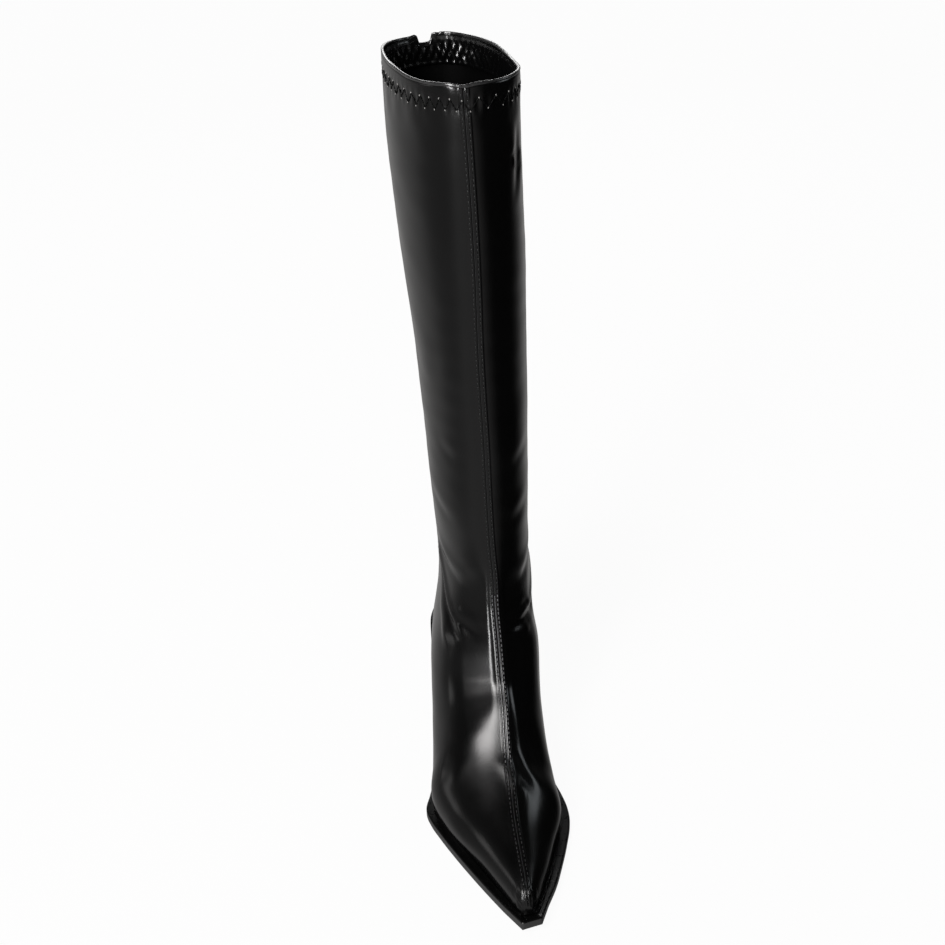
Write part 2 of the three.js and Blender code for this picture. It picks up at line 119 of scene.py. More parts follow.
# OUTLINE of the sole: along, lateral, medial
OUTLINE = [
    (-0.018, -0.010, 0.030), (-0.010, 0.140, 0.160), (0.020, 0.270, 0.285), (0.060, 0.365, 0.355),
    (0.110, 0.425, 0.392), (0.170, 0.447, 0.408), (0.250, 0.450, 0.400), (0.350, 0.468, 0.375),
    (0.450, 0.500, 0.362), (0.530, 0.540, 0.366), (0.600, 0.605, 0.404), (0.650, 0.648, 0.438),
    (0.690, 0.620, 0.455), (0.730, 0.569, 0.452), (0.800, 0.470, 0.391), (0.865, 0.373, 0.317),
    (0.930, 0.273, 0.235), (0.985, 0.186, 0.146),
]
TIP = dict(lateral_along=1.047, medial_along=1.036, lateral=0.078, medial=0.073)


def smooth(a, b, x):
    t = np.clip((np.asarray(x, float) - a) / (b - a), 0, 1)
    return t * t * (3 - 2 * t)


def sole_top(along):
    rise = (SEAT_TOP - SOLE_THICKNESS) * smooth(0.60 * LAST_LENGTH, 0.10 * LAST_LENGTH, along)
    spring = np.maximum(0, (np.asarray(along, float) - 0.72 * LAST_LENGTH) / (0.30 * LAST_LENGTH))
    return SOLE_THICKNESS + rise + TOE_SPRING * spring ** 2


def section_rows():
    rows = []
    for a, crest, lat, med, widest, lower, lean in FOREPART:
        s = a * LAST_LENGTH
        rows.append([s, sole_top(s) + crest * INSTEP_HEIGHT, s, sole_top(s) - FEATHER_DROP,
                     lat * BALL_WIDTH, med * BALL_WIDTH, widest, widest, lower, lean])
    for fa, fu, ba, bu, lat, med, widest, lower, lean in ANKLE:
        b = ba * LAST_LENGTH
        up = sole_top(b) - FEATHER_DROP if bu is None else SEAT_TOP + bu * SHAFT_HEIGHT
        rows.append([fa * LAST_LENGTH, SEAT_TOP + fu * SHAFT_HEIGHT, b, up,
                     lat * BALL_WIDTH, med * BALL_WIDTH, widest, widest, lower, lean])
    for u, f, b, lat, med, wl, wm, lean, dip in SHAFT:
        z = SEAT_TOP + u * SHAFT_HEIGHT
        rows.append([f * LAST_LENGTH, z - dip * SHAFT_HEIGHT, b * LAST_LENGTH, z,
                     lat * SHAFT_WIDTH, med * SHAFT_WIDTH, wl, wm, 2.0, lean])
    return np.array(rows, float)


def hermite(rows, stations, params):
    """Rows at fractional row numbers, smoothly."""
    n = len(rows)
    m = np.zeros_like(rows)
    m[0] = (rows[1] - rows[0]) / (stations[1] - stations[0])
    m[-1] = (rows[-1] - rows[-2]) / (stations[-1] - stations[-2])
    for i in range(1, n - 1):
        before, after = stations[i] - stations[i - 1], stations[i + 1] - stations[i]
        slope_in = (rows[i] - rows[i - 1]) / before
        slope_out = (rows[i + 1] - rows[i]) / after
        m[i] = (slope_in * after + slope_out * before) / (before + after)
    params = np.asarray(params, float)
    i = np.clip(params.astype(int), 0, n - 2)
    t = (params - i)[:, None]
    h = (stations[i + 1] - stations[i])[:, None]
    return ((2 * t ** 3 - 3 * t ** 2 + 1) * rows[i] + (t ** 3 - 2 * t ** 2 + t) * h * m[i]
            + (-2 * t ** 3 + 3 * t ** 2) * rows[i + 1] + (t ** 3 - t ** 2) * h * m[i + 1])


ROWS = section_rows()
_front = np.hypot(np.diff(ROWS[:, 0]), np.diff(ROWS[:, 1]))
_back = np.hypot(np.diff(ROWS[:, 2]), np.diff(ROWS[:, 3]))
STATIONS = np.r_[0, np.cumsum((_front + _back) / 2)]


def section_point(row, angle):
    depth = math.hypot(row[0] - row[2], row[1] - row[3])
    c, s = np.cos(angle), np.sin(angle)
    power = np.where(c >= 0, 1.0, 2 / row[8])
    widest = np.where(s >= 0, row[7], row[6])
    rise, reach = np.abs(c) ** power, np.abs(s) ** power
    share = np.where(c >= 0, widest + (1 - widest) * rise, widest - widest * rise)
    return np.stack([row[9] + np.where(s >= 0, row[5], -row[4]) * reach, share * depth], -1)


# the fine columns beside the crest, in mm from it
CREST_MM = np.array([0, 0.16, 0.32, 0.5, 0.72, 1.0, 1.3, 1.55, 1.75, 1.95,
                     2.15, 2.35, 2.6, 2.85, 3.1, 3.4, 3.8, 4.4, 5.3, 6.6])
# a section with less arc than this on a side has its seam narrowed in proportion
FULL_SEAM_ARC = 40.0


def columns(per_side, crest=True):
    """The columns of one side: the fine ones beside the crest, then even ones to the foot."""
    fine = CREST_MM if crest else np.array([0.0])
    return dict(fine=fine, rest=per_side)


def side_wants(cols, total):
    """Arc distances wanted on one side whose whole arc is `total`."""
    scale = min(1.0, total / FULL_SEAM_ARC)
    fine = cols["fine"] * scale
    rest = fine[-1] + (total - fine[-1]) * np.arange(1, cols["rest"] + 1) / cols["rest"]
    return np.r_[fine, rest]


def column_count(cols):
    return 2 * (len(cols["fine"]) + cols["rest"]) - 1


def section_ring(row, cols, grow=0.0):
    """Points of one section from the lateral foot over the crest to the medial foot.
    Returns across, along, up and the signed arc distance from the crest in mm, medial positive."""
    dense = np.linspace(0, 1, 361)
    depth = math.hypot(row[0] - row[2], row[1] - row[3])
    a, u = (row[0] - row[2]) / depth, (row[1] - row[3]) / depth
    parts = {}
    for sign in (1, -1):
        curve = section_point(row, sign * np.pi * dense)
        arc = np.r_[0, np.cumsum(np.hypot(*np.diff(curve, axis=0).T))]
        want = side_wants(cols, arc[-1])
        x, y = np.interp(want, arc, curve[:, 0]), np.interp(want, arc, curve[:, 1])
        ahead, behind = np.minimum(want + 0.4, arc[-1]), np.maximum(want - 0.4, 0)
        dx = np.interp(ahead, arc, curve[:, 0]) - np.interp(behind, arc, curve[:, 0])
        dy = np.interp(ahead, arc, curve[:, 1]) - np.interp(behind, arc, curve[:, 1])
        length = np.maximum(np.hypot(dx, dy), 1e-9)
        x, y = x - sign * dy / length * grow, y + sign * dx / length * grow
        parts[sign] = (np.stack([x, row[2] + y * a, row[3] + y * u], -1), sign * want)
    points = np.vstack([parts[-1][0][::-1][:-1], parts[1][0]])
    arcs = np.r_[parts[-1][1][::-1][:-1], parts[1][1]]
    return points, arcs


def outline_sides(per_span):
    sides = []
    for column in (1, 2):
        pts = np.array([[r[0] * LAST_LENGTH, r[column] * BALL_WIDTH] for r in OUTLINE])
        st = np.r_[0, np.cumsum(np.hypot(*np.diff(pts, axis=0).T))]
        sides.append(hermite(pts, st, np.arange(0, len(pts) - 1 + 1e-9, 1 / per_span)))
    return sides


_lat, _med = outline_sides(3)
_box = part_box("outsole")
SX = _box[1][0] * 1000 - _med[:, 1].max()
SY = _box[0][1] * 1000 + TIP["lateral_along"] * LAST_LENGTH


def to_frame(points):
    """Boot terms (across, along, up) in mm to the row frame in metres."""
    p = np.asarray(points, float)
    return np.stack([(p[..., 0] + SX), (SY - p[..., 1]), p[..., 2]], -1) / 1000.0


# Mesh helpers
def add_mesh(name, verts, faces, material, replaces=(), stage=False):
    mesh = bpy.data.meshes.new(name)
    verts = np.asarray(verts, np.float32)
    faces = np.asarray(faces, np.int32)
    mesh.vertices.add(len(verts))
    mesh.vertices.foreach_set("co", verts.ravel())
    size = faces.shape[1]
    mesh.loops.add(faces.size)
    mesh.loops.foreach_set("vertex_index", faces.ravel())
    mesh.polygons.add(len(faces))
    mesh.polygons.foreach_set("loop_start", np.arange(0, faces.size, size, dtype=np.int32))
    mesh.polygons.foreach_set("loop_total", np.full(len(faces), size, np.int32))
    mesh.update(calc_edges=True)
    mesh.validate()
    mesh.polygons.foreach_set("use_smooth", [True] * len(mesh.polygons))
    mesh.materials.append(material)
    obj = bpy.data.objects.new(name, mesh)
    bpy.context.scene.collection.objects.link(obj)
    if stage:
        return obj
    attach(obj, "root")
    if replaces:
        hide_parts(*replaces)
    return obj


def grid_faces(rows, cols, wrap=False, flip=False):
    r, c = np.meshgrid(np.arange(rows - 1), np.arange(cols if wrap else cols - 1), indexing="ij")
    c2 = (c + 1) % cols
    f = np.stack([r * cols + c, r * cols + c2, (r + 1) * cols + c2, (r + 1) * cols + c], -1).reshape(-1, 4)
    return f[:, ::-1] if flip else f


def grid_normals(P):
    """Unit normals of a grid of points, away from its rows' middles."""
    n = np.cross(np.gradient(P, axis=1), np.gradient(P, axis=0))
    n /= np.maximum(np.linalg.norm(n, axis=-1, keepdims=True), 1e-9)
    centre = P.mean(1, keepdims=True)
    return -n if ((P - centre) * n).sum(-1).mean() < 0 else n


def take(want, at, values):
    """The columns of `values`, given at `at`, read off at `want`."""
    return np.stack([np.interp(want, at, values[:, c]) for c in range(values.shape[1])], -1)


def lengths(points):
    """The distance along a path at each of its points."""
    return np.r_[0, np.cumsum(np.linalg.norm(np.diff(points, axis=0), axis=1))]


def noise(seed, shape_points, scale):
    """Smooth value noise from a sum of sines, -1..1, at boot-term points."""
    rng = np.random.RandomState(seed)
    total = np.zeros(shape_points.shape[:-1])
    for _ in range(7):
        d = rng.normal(size=3)
        d /= np.linalg.norm(d)
        f = (0.6 + 0.9 * rng.rand()) / scale
        total += np.sin((shape_points @ d) * f * 2 * np.pi + rng.rand() * 6.28)
    return total / 7 * 1.6


# The upper's surface
def fold(width, depth, lip, fade, points, side=1):
    """A soft fold through points (across, along, up) in mm: the trough's half width and depth, the height of
    the lip beside it, on the upper side for side 1, and the shares of its length over which its ends fade."""
    return dict(p=points, w=width, d=depth, lip=lip, side=side, fade=fade)


def creases():
    """The main folds. A negative depth is a bulge."""
    return [
        # lateral ankle: the shaft's skirt laps over the quarter
        fold(2.6, 2.3, 1.3, (0.12, 0.4), [(-27.5, 46, 138), (-28.5, 56, 124), (-29.0, 64, 115),
             (-29.2, 73, 109), (-28.6, 84, 104), (-27.0, 93, 100.5), (-23.8, 106, 96.0), (-20.5, 115, 90)]),
        fold(3.4, -1.7, 0.0, (0.3, 0.4), [(-32.5, 58, 112), (-33.0, 72, 103), (-32.2, 86, 97),
             (-30.5, 98, 91), (-28, 108, 84)]),
        fold(3.4, 1.3, 0.8, (0.2, 0.45), [(-27.0, 91, 102.0), (-21.8, 102, 104), (-17.5, 107.8, 104.0),
             (-13.0, 112.5, 102.5), (-8.5, 117, 99.5)]),
        fold(4.5, 0.8, 0.6, (0.4, 0.4), [(-28.5, 44, 150), (-28.8, 60, 138), (-26.0, 80, 130),
             (-20, 94, 128), (-12, 101, 128)]),
        # medial ankle
        fold(3.0, 1.6, 0.8, (0.12, 0.25), [(29.0, 44, 128), (30.0, 58, 114), (30.0, 70, 104),
             (29.0, 82, 98.5), (25.5, 92, 100), (20.5, 103.5, 102.4), (14.5, 111, 103.6),
             (10.2, 115.8, 101.5)]),
        fold(2.4, 0.5, 0.3, (0.3, 0.3), [(27.5, 88, 104.5), (23.9, 92, 108), (18.0, 103.5, 108.6),
             (13.0, 110.5, 106)]),
        fold(4.4, -0.8, 0.0, (0.3, 0.4), [(25.5, 98, 95), (20.0, 107, 97.0), (14.5, 113.5, 97.0),
             (11.5, 118, 94)]),
        fold(4.5, 0.8, 0.5, (0.4, 0.4), [(29, 46, 146), (28, 64, 136), (24, 84, 129), (15, 97, 128)]),
        # back of the ankle
        fold(3.6, 1.9, 1.1, (0.08, 0.08), [(-27.5, 40, 136), (-20, 16, 124), (-8, 5, 117), (6, 2.5, 115.5),
             (18, 10, 118), (29, 44, 128)]),
        fold(5.0, 0.9, 0.5, (0.35, 0.35), [(-24, 24, 150), (-10, 8, 143), (6, 6, 142), (22, 22, 148)]),
        fold(6.5, 0.7, 0.4, (0.3, 0.3), [(-33, 30, 96), (-20, 4, 93), (0, -4, 91), (20, 4, 93),
             (33, 32, 96)]),
        # vamp break beside the seam
        fold(3.6, 0.7, 0.55, (0.25, 0.45), [(1.5, 170, 54), (3.9, 178.5, 49), (6.9, 185.5, 45.0),
             (11, 191.5, 41.5), (15.5, 197, 37.5)], side=-1),
        fold(5.0, 0.6, 0.4, (0.4, 0.4), [(-34, 158, 46), (-38, 168, 38), (-41, 176, 31)]),
        # slack lines across the shaft
        fold(4.5, 0.4, 0.2, (0.4, 0.5), [(12, 97, 214), (20, 86, 219), (26, 72, 224)]),
        fold(4.5, 0.4, 0.2, (0.5, 0.4), [(-30, 78, 231), (-26, 88, 226), (-18, 96, 221)]),
        fold(5.5, 0.55, 0.25, (0.5, 0.4), [(26, 62, 188), (20, 86, 178), (9, 99, 172)]),
        fold(5.5, 0.5, 0.25, (0.5, 0.4), [(-32, 52, 190), (-29, 74, 180), (-20, 93, 172)]),
        # long dents down the shaft
        fold(3.8, 0.8, 0.5, (0.3, 0.5), [(21.5, 92, 432), (21.8, 90.5, 408), (21.0, 91.5, 396),
             (17.5, 97, 380)], side=-1),
        fold(7.0, 0.4, 0.2, (0.5, 0.5), [(-28, 98, 300), (-31, 90, 285), (-32.5, 80, 262)]),
    ]


FOLD_STEPS = 40
FOLD_REACH = 4.5
LIP_AT = 1.9
LIP_WIDE = 1.1


def crease_push(P):
    """Total outward displacement (mm) of the creases at boot-term points P (..., 3)."""
    flat = P.reshape(-1, 3)
    total = np.zeros(len(flat))
    for c in creases():
        pts = np.array(c["p"], float)
        # a smooth curve through the points
        fine = hermite(pts, lengths(pts), np.linspace(0, len(pts) - 1, FOLD_STEPS))
        reach = c["w"] * FOLD_REACH
        near = np.all((flat > fine.min(0) - reach) & (flat < fine.max(0) + reach), axis=1)
        q = flat[near]
        if not len(q):
            continue
        d2 = ((q[:, None, :] - fine[None]) ** 2).sum(-1)
        k = d2.argmin(1)
        dist = np.sqrt(d2[np.arange(len(q)), k])
        up = (q - fine[k])[:, 2]
        t = k / (len(fine) - 1)
        ends = smooth(0, c["fade"][0], t) * smooth(0, c["fade"][1], 1 - t)
        # beyond the ends the distance grows, so the fold dies away by itself
        trough = np.exp(-(dist / c["w"]) ** 2)
        signed = np.where(up >= 0, 1.0, -1.0) * c["side"]
        lip = np.exp(-((dist * signed - LIP_AT * c["w"]) / (LIP_WIDE * c["w"])) ** 2)
        total[near] += ends * (-c["d"] * trough + c["lip"] * lip)
    return total.reshape(P.shape[:-1])


STITCH_ROW = 1.72


def seam_push(arc, scale):
    """The raised centre seam: two turned edges, the fine join line between them, and the stitch channels.
    arc: distance from the crest in seam millimetres; scale: 0..1 fading at the toe."""
    a = np.abs(arc)
    ridge = 0.24 * (1 - smooth(2.3, 3.3, a))
    puff = 0.03 * np.exp(-((a - 0.95) / 0.40) ** 2)
    groove = -0.20 * np.exp(-((a - 0.40) / 0.24) ** 2)
    join = -0.12 * np.exp(-(a / 0.2) ** 2)
    rows = -0.07 * np.exp(-((a - STITCH_ROW) / 0.30) ** 2)
    return (ridge + puff + groove + join + rows) * scale


def upper_grid(n_rows, cols, grow=0.0, start=0.0):
    """Points and signed arcs of `n_rows` sections, evenly from row number `start` to the rim."""
    ends = np.interp([start, len(ROWS) - 1], np.arange(len(ROWS)), STATIONS)
    even = np.interp(np.linspace(ends[0], ends[1], n_rows), STATIONS, np.arange(len(ROWS)))
    rows = hermite(ROWS, STATIONS, even)
    P = np.zeros((n_rows, column_count(cols), 3))
    A = np.zeros(P.shape[:2])
    for i, row in enumerate(rows):
        P[i], A[i] = section_ring(row, cols, grow)
    return P, A


def notch_shape(P):
    """At the centre-back notch: how deep the rim is cut, how the corners rise, and the gather's strength."""
    across = P[..., 0] - (SHAFT[-1][7] + NOTCH_OFFSET)
    behind = P[..., 1] < 30
    wide = NOTCH_WIDTH / 2
    deep = NOTCH_DEPTH * (1 - smooth(wide * 0.72, wide * 1.02, np.abs(across)))
    lift = 0.9 * np.exp(-((np.abs(across) - wide * 1.25) / 1.6) ** 2)
    gather = np.exp(-(across / 14.0) ** 2)
    return np.where(behind, deep, 0), np.where(behind, lift, 0), np.where(behind, gather, 0)


ROOF_FLANK = 27.0
FLANK_BULGE = 0.9


def roof_curve(points, arc, total, side, s):
    """One side of a section with the crest's shoulder built up: a nearly level band, then a flat flank."""
    edge = float(5.4 + 1.2 * smooth(135, 165, s))
    reach = min(edge + ROOF_FLANK, 0.75 * total)
    pick = np.where(arc >= 0)[0]
    pick = pick[np.argsort(arc[pick])]
    fine = np.linspace(0, total, 500)
    curve = take(fine, arc[pick], points[pick])
    level = curve[np.searchsorted(fine, 1.0)] - curve[0]
    level /= np.linalg.norm(level)
    down = curve[np.searchsorted(fine, 12.0)] - curve[0]
    down -= level * (down @ level)
    down /= np.linalg.norm(down)
    far = take(reach, fine, curve)
    corner = curve[0] + level * edge + down * edge * 0.075
    flank = far - corner
    outward = level - flank * ((level @ flank) / (flank @ flank))
    outward /= np.linalg.norm(outward)
    for a, b, start, stop in ((0.0, edge, curve[0].copy(), corner), (edge, reach, corner, far)):
        flat = (fine >= a) & (fine <= b)
        t = ((fine[flat] - a) / (b - a))[:, None]
        curve[flat] = start + (stop - start) * t
        if side < 0 and a > 0:
            # the lateral flank rounds out a little toward the vamp
            curve[flat] += outward * (4 * FLANK_BULGE * t * (1 - t) * float(smooth(143, 160, s)))
    # both bends rounded by a running mean, tight beside the seam and wide at the far end
    step = fine[1] - fine[0]
    area_under = np.vstack([np.zeros(3), np.cumsum((curve[1:] + curve[:-1]) / 2 * step, axis=0)])
    turn = 3.6 if side > 0 else 1.5 + 3.0 * float(smooth(132, 164, s))
    wide = turn + 6.5 * smooth(edge + 5, reach, fine) * (1 - smooth(reach + 2, reach + 18, fine))
    wide = np.minimum(wide, np.minimum(fine, total - fine))
    swept = take(fine + wide, fine, area_under) - take(fine - wide, fine, area_under)
    mean = np.where((wide > 0.05)[:, None], swept / np.maximum(2 * wide, 1e-6)[:, None], curve)
    return take(arc, fine, mean)


def roof(P, A):
    """The leather stands up to the seam along the instep, on either side of it."""
    P = P.copy()
    mid = P.shape[1] // 2
    for i in range(len(P)):
        s, z = P[i, mid, 1], P[i, mid, 2]
        if z > 150 or s < 94:
            continue
        for side in (-1, 1):
            fall = smooth(158, 198, s) if side < 0 else smooth(170, 192, s)
            above = smooth(148, 130, z) * smooth(95, 104, s)
            amount = float(above * (1 - 0.75 * fall) * (1 - smooth(205, 245, s)))
            if amount <= 0:
                continue
            arc = side * A[i]
            total = arc.max()
            target = roof_curve(P[i], arc, total, side, s)
            weight = amount * (arc >= 0) * (1 - smooth(total - 12, total - 4, arc))
            P[i] = P[i] + (target - P[i]) * weight[:, None]
    return P


def hump(x, middle, wide):
    """A smooth hump of height 1 at `middle`."""
    return np.exp(-((x - middle) / wide) ** 2)


FOOT_TOP = 75
ZIGZAG_DROP = 9.9
ZIGZAG_HALF = 2.9
RIM_ROWS = 9


def above_sole(P, gap):
    """Points pressed through the sole are laid on it; also says which they were."""
    floor = sole_top(P[:, :, 1]) + gap
    low = (P[:, :, 2] < floor) & (P[:, :, 2] < FOOT_TOP)
    P[:, :, 2] = np.where(low, floor, P[:, :, 2])
    return low


def make_upper():
    """The outer skin with its folds, seam and turned-in rim. Returns the skin, its base normals and arcs."""
    cols = columns(118)
    P, A = upper_grid(330, cols)
    P = roof(P, A)
    N = grid_normals(P)
    across, z = P[:, :, 0], P[:, :, 2]
    from_tip = P[:, :, 1].max() - P[:, :, 1]
    scale = np.minimum(1, np.abs(A[:, :1]) / FULL_SEAM_ARC)
    push = crease_push(P)
    push = push + seam_push(A / scale, smooth(0.15, 0.6, scale) * smooth(0.6, 5.0, from_tip))
    # soft unevenness of sheet stretched over the last
    push += 0.26 * noise(3, P, 58.0) * smooth(0, 22, from_tip)
    push += 0.09 * noise(5, P, 21.0) * smooth(0, 30, from_tip)
    # the medial ankle stands out
    push += 1.6 * hump(z, 98, 27.0) * smooth(9, 24, A) * smooth(78, 52, A)
    # gathers running down the nose of the toe
    gathers = np.maximum(0, np.sin(across * 2 * np.pi / 2.3 + 0.6)) ** 2
    push += -1.0 * hump(from_tip, 0, 6.0) * gathers * smooth(0.1, 1.2, from_tip)
    # collar: the zigzag stitch pulls the band in and puckers it
    below_rim = np.maximum(0, P[-1:, :, 2] - z)
    push += -0.30 * hump(below_rim, ZIGZAG_DROP, 3.6) * (1 + 0.9 * np.sin(A * 2 * np.pi / 5.5))
    push += 0.16 * hump(below_rim, 19, 6.0) * np.sin(A / 3.1 + 0.8)
    push += 0.22 * hump(below_rim, 5, 3.0)
    deep, lift, gather = notch_shape(P)
    push += -0.8 * gather * hump(below_rim, 7, 8.0)
    push += 0.35 * gather * smooth(26, 0, below_rim) * np.sin(across * 1.7)
    Q = P + N * push[..., None]
    # waviness of the rim and the dip at the front seam
    crest_dip = 1.1 * hump(np.abs(A), 0, 5.5)
    wavy = 0.45 * np.sin(A / 17.0 + 0.7) + 0.25 * np.sin(A / 8.3 + 2.0)
    Q[:, :, 2] += (lift - deep - crest_dip + wavy) * smooth(15, 0, below_rim)
    inside = []
    for k in range(1, RIM_ROWS):
        inward = WALL * smooth(0, 2, k * 1.0)
        inside.append(Q[-1] - N[-1] * inward - np.array([0, 0, 1.0]) * max(0, k - 2) * 0.8)
    body = np.concatenate([Q, np.array(inside)])
    low = above_sole(body, 0.15)
    rows, count = body.shape[:2]
    faces = grid_faces(rows, count)
    faces = faces[~low.reshape(-1)[faces].all(1)]
    # a fan closes the nose
    nose = rows * count
    nose_at = body[0].mean(0) + np.array([0, 0.8, 0])
    verts = np.vstack([to_frame(body).reshape(-1, 3), to_frame(nose_at)[None]])
    cap = np.array([[nose, j + 1, j] for j in range(count - 1)])
    add_mesh("upper_skin", verts, faces, MAT["upper"], replaces=("upper",))
    add_mesh("upper_nose", verts, cap, MAT["upper"])
    return Q, N, A


def tube(path, radius, sides):
    """A round bead along a path of points in mm; radius may vary by point."""
    path = np.asarray(path, float)
    radius = np.broadcast_to(radius, len(path))
    d = np.gradient(path, axis=0)
    d /= np.maximum(np.linalg.norm(d, axis=1, keepdims=True), 1e-9)
    side = np.cross(d, np.array([0, 0, 1.0]))
    side /= np.maximum(np.linalg.norm(side, axis=1, keepdims=True), 1e-9)
    top = np.cross(side, d)
    rings = []
    for k in range(sides):
        a = 2 * np.pi * k / sides
        rings.append(path + side * (radius * math.cos(a))[:, None] + top * (radius * math.sin(a))[:, None])
    return np.stack(rings, 1).reshape(-1, 3), grid_faces(len(path), sides, wrap=True)


def make_rim():
    """The turned, polished edge of the collar, open at the notch."""
    top = OUT[-1]
    path = top - NRM[-1] * (WALL * 0.5)
    pts = path[notch_shape(top)[0] < 0.15]
    # from the medial side of the notch round the front to its lateral side
    cut = np.argmax(np.linalg.norm(np.diff(np.vstack([pts, pts[:1]]), axis=0), axis=1)) + 1
    pts = np.roll(pts, -cut, 0)
    s = lengths(pts)
    want = np.linspace(0, s[-1], 420)
    radius = 0.98 + 0.07 * np.sin(want / 9.0) + 0.05 * np.sin(want / 3.7)
    radius = radius * (0.35 + 0.65 * smooth(0, 3, want) * smooth(0, 3, s[-1] - want))
    v, f = tube(take(want, s, pts), radius, 12)
    add_mesh("collar_rim", to_frame(v), f, MAT["rim"])


# Materials
def node(tree, kind, inputs=None, **values):
    """A new node with its properties and some of its inputs set."""
    n = tree.nodes.new(kind)
    for key, value in values.items():
        setattr(n, key, value)
    for key, value in (inputs or {}).items():
        n.inputs[key].default_value = value
    return n


def leather(name, colour, rough, grain, spec):
    """Coated leather: fine grain in tone, gloss and height, and a slow change of gloss within `rough`."""
    mat = bpy.data.materials.new(name)
    mat.use_nodes = True
    t = mat.node_tree
    t.nodes.clear()
    out = node(t, "ShaderNodeOutputMaterial")
    b = node(t, "ShaderNodeBsdfPrincipled", {"Specular IOR Level": spec})
    t.links.new(b.outputs[0], out.inputs[0])
    coord = node(t, "ShaderNodeTexCoord")
    fine = node(t, "ShaderNodeTexNoise", {"Scale": 1100.0, "Detail": 3.0, "Roughness": 0.6})
    cells = node(t, "ShaderNodeTexVoronoi", {"Scale": 1100.0}, feature="F1")
    big = node(t, "ShaderNodeTexNoise", {"Scale": 26.0, "Detail": 4.0})
    for n in (fine, cells, big):
        t.links.new(coord.outputs["Object"], n.inputs["Vector"])
    ends = {"To Min": rough[0], "To Max": rough[1]}
    gloss = node(t, "ShaderNodeMapRange", {"From Min": 0.3, "From Max": 0.7, **ends})
    t.links.new(big.outputs["Fac"], gloss.inputs["Value"])
    add = node(t, "ShaderNodeMath", {1: 0.06}, operation="MULTIPLY_ADD")
    t.links.new(fine.outputs["Fac"], add.inputs[0])
    t.links.new(gloss.outputs[0], add.inputs[2])
    t.links.new(add.outputs[0], b.inputs["Roughness"])
    ends = {"To Min": 0.85, "To Max": 1.35}
    tone = node(t, "ShaderNodeMapRange", {"From Min": 0.35, "From Max": 0.75, **ends})
    t.links.new(fine.outputs["Fac"], tone.inputs["Value"])
    mix = node(t, "ShaderNodeVectorMath", operation="SCALE")
    mix.inputs[0].default_value = colour
    t.links.new(tone.outputs[0], mix.inputs["Scale"])
    t.links.new(mix.outputs[0], b.inputs["Base Color"])
    height = node(t, "ShaderNodeMath", {1: 0.6}, operation="MULTIPLY_ADD")
    t.links.new(cells.outputs["Distance"], height.inputs[0])
    t.links.new(fine.outputs["Fac"], height.inputs[2])
    bump = node(t, "ShaderNodeBump", {"Strength": grain, "Distance": 0.0004})
    t.links.new(height.outputs[0], bump.inputs["Height"])
    t.links.new(bump.outputs[0], b.inputs["Normal"])
    return mat


def plain(name, colour, rough, bump_scale, bump_strength, spec=0.5):
    """One colour, with a noise that roughens the surface and varies its gloss."""
    mat = bpy.data.materials.new(name)
    mat.use_nodes = True
    t = mat.node_tree
    b = t.nodes["Principled BSDF"]
    b.inputs["Base Color"].default_value = (*colour, 1)
    b.inputs["Specular IOR Level"].default_value = spec
    coord = node(t, "ShaderNodeTexCoord")
    n = node(t, "ShaderNodeTexNoise", {"Scale": bump_scale, "Detail": 4.0})
    t.links.new(coord.outputs["Object"], n.inputs["Vector"])
    bump = node(t, "ShaderNodeBump", {"Strength": bump_strength, "Distance": 0.0005})
    t.links.new(n.outputs["Fac"], bump.inputs["Height"])
    t.links.new(bump.outputs[0], b.inputs["Normal"])
    gloss = node(t, "ShaderNodeMapRange", {"To Min": max(0.05, rough - 0.1), "To Max": min(1.0, rough + 0.1)})
    t.links.new(n.outputs["Fac"], gloss.inputs["Value"])
    t.links.new(gloss.outputs[0], b.inputs["Roughness"])
    return mat


MAT = {
    "upper": leather("leather", (0.0009, 0.0009, 0.00095), (0.13, 0.21), 0.06, 0.50),
    "rim": leather("rim_leather", (0.012, 0.012, 0.0122), (0.18, 0.26), 0.012, 1.0),
    "seam": plain("seam_thread", (0.009, 0.009, 0.0094), 0.40, 1400.0, 0.2),
    "zigzag": plain("zigzag_thread", (0.0006, 0.0006, 0.0006), 0.50, 1400.0, 0.2, spec=0.12),
    # the seam's thread made lighter where the instep's light catches it: a painted highlight
    "instep": plain("instep_thread_painted_highlight", (0.085, 0.085, 0.089), 0.40, 1400.0, 0.2),
    # light grey dots at the zigzag's tips: painted glints, lighter than the black thread
    "ends": plain("stitch_ends_painted_glint", (0.25, 0.242, 0.235), 0.40, 1400.0, 0.2),
    "lining": leather("lining", (0.0010, 0.0010, 0.0010), (0.5, 0.7), 0.15, 0.10),
    "elastic": plain("elastic", (0.0015, 0.0015, 0.0016), 0.22, 900.0, 0.08, spec=1.0),
    "side": plain("sole_side", (0.014, 0.014, 0.0144), 0.50, 900.0, 0.25, spec=0.70),
    "ledge": plain("sole_ledge", (0.0006, 0.0006, 0.0006), 0.30, 260.0, 0.06, spec=0.35),
    "rand": plain("rand", (0.0010, 0.0010, 0.0010), 0.24, 400.0, 0.1, spec=0.55),
    "heel": plain("heel", (0.0010, 0.0010, 0.0010), 0.24, 200.0, 0.06, spec=0.5),
    "lift": plain("lift", (0.012, 0.012, 0.0124), 0.60, 600.0, 0.3, spec=0.4),
    "insole": leather("insole", (0.003, 0.003, 0.003), (0.5, 0.65), 0.12, 0.2),
}

OUT, NRM, ARC = make_upper()


# Lining and gathered elastic
def make_lining():
    P, A = upper_grid(130, columns(64, crest=False), grow=-WALL - 0.5, start=3.2)
    P = roof(P, A)
    P[:, :, 2] = np.minimum(P[:, :, 2], COLLAR_TOP - 5.5)
    low = above_sole(P, 0.3)
    P = P + 0.12 * noise(11, P, 30.0)[..., None]
    faces = grid_faces(*P.shape[:2], flip=True)
    faces = faces[~low.reshape(-1)[faces].all(1)]
    add_mesh("lining", to_frame(P).reshape(-1, 3), faces, MAT["lining"])


